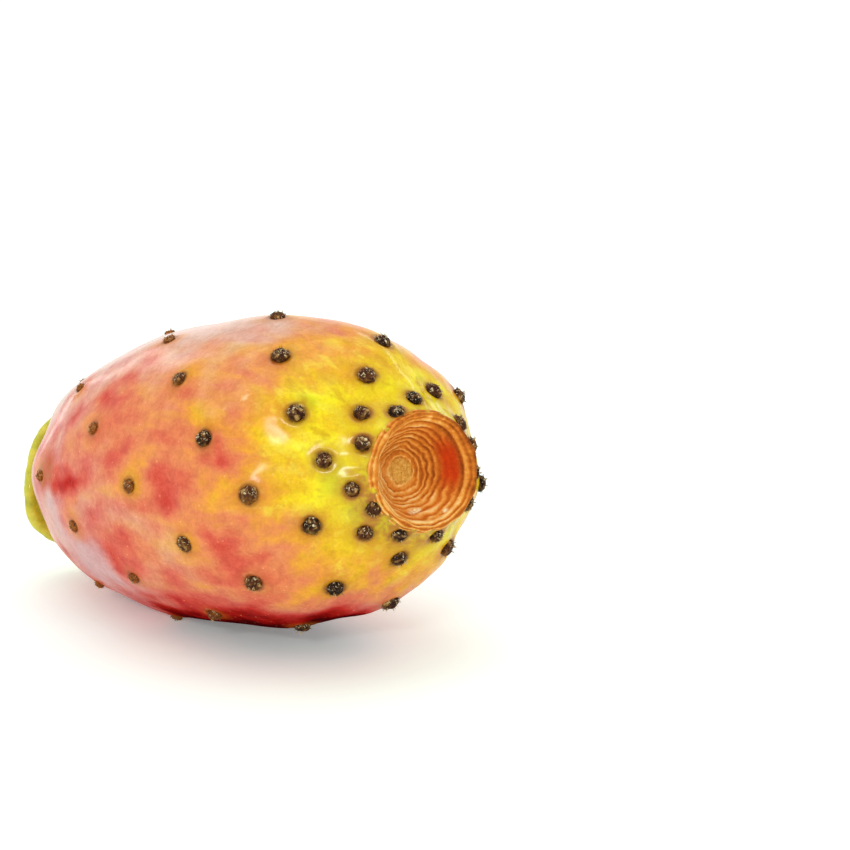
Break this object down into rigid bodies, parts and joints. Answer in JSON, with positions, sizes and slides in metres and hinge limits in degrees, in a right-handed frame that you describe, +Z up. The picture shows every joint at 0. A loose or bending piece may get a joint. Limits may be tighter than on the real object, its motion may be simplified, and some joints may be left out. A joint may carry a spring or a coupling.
{
  "type": "prickly pear fruit",
  "caption": "Whole oval prickly pear fruit lying on its side, with felted spine cushions in a spiral, a round dished scar at the crown and a thin slice of pad at the stem end.",
  "frame": {"origin": "on the surface that the fruit lies on, under the middle of its bounding box", "axes": "+Z up, +X along the fruit from the stem end to the crown, -Y the side that shows its face in the picture"},
  "size_m": [0.0936, 0.0516, 0.0533],
  "materials": {
    "skin": "glossy, waxy rind that runs from mauve pink through orange to lemon yellow",
    "cushion_felt": "matt brown felt with short straw-coloured bristles",
    "crown_scar": "dry, papery, ringed orange scar",
    "pad_slice": "yellow-green cut pad with a waxy rim and pale fibrous cut face"
  },
  "bodies": {
    "root": {"prickly_pear_fruit": "skin"}
  },
  "joints": []
}
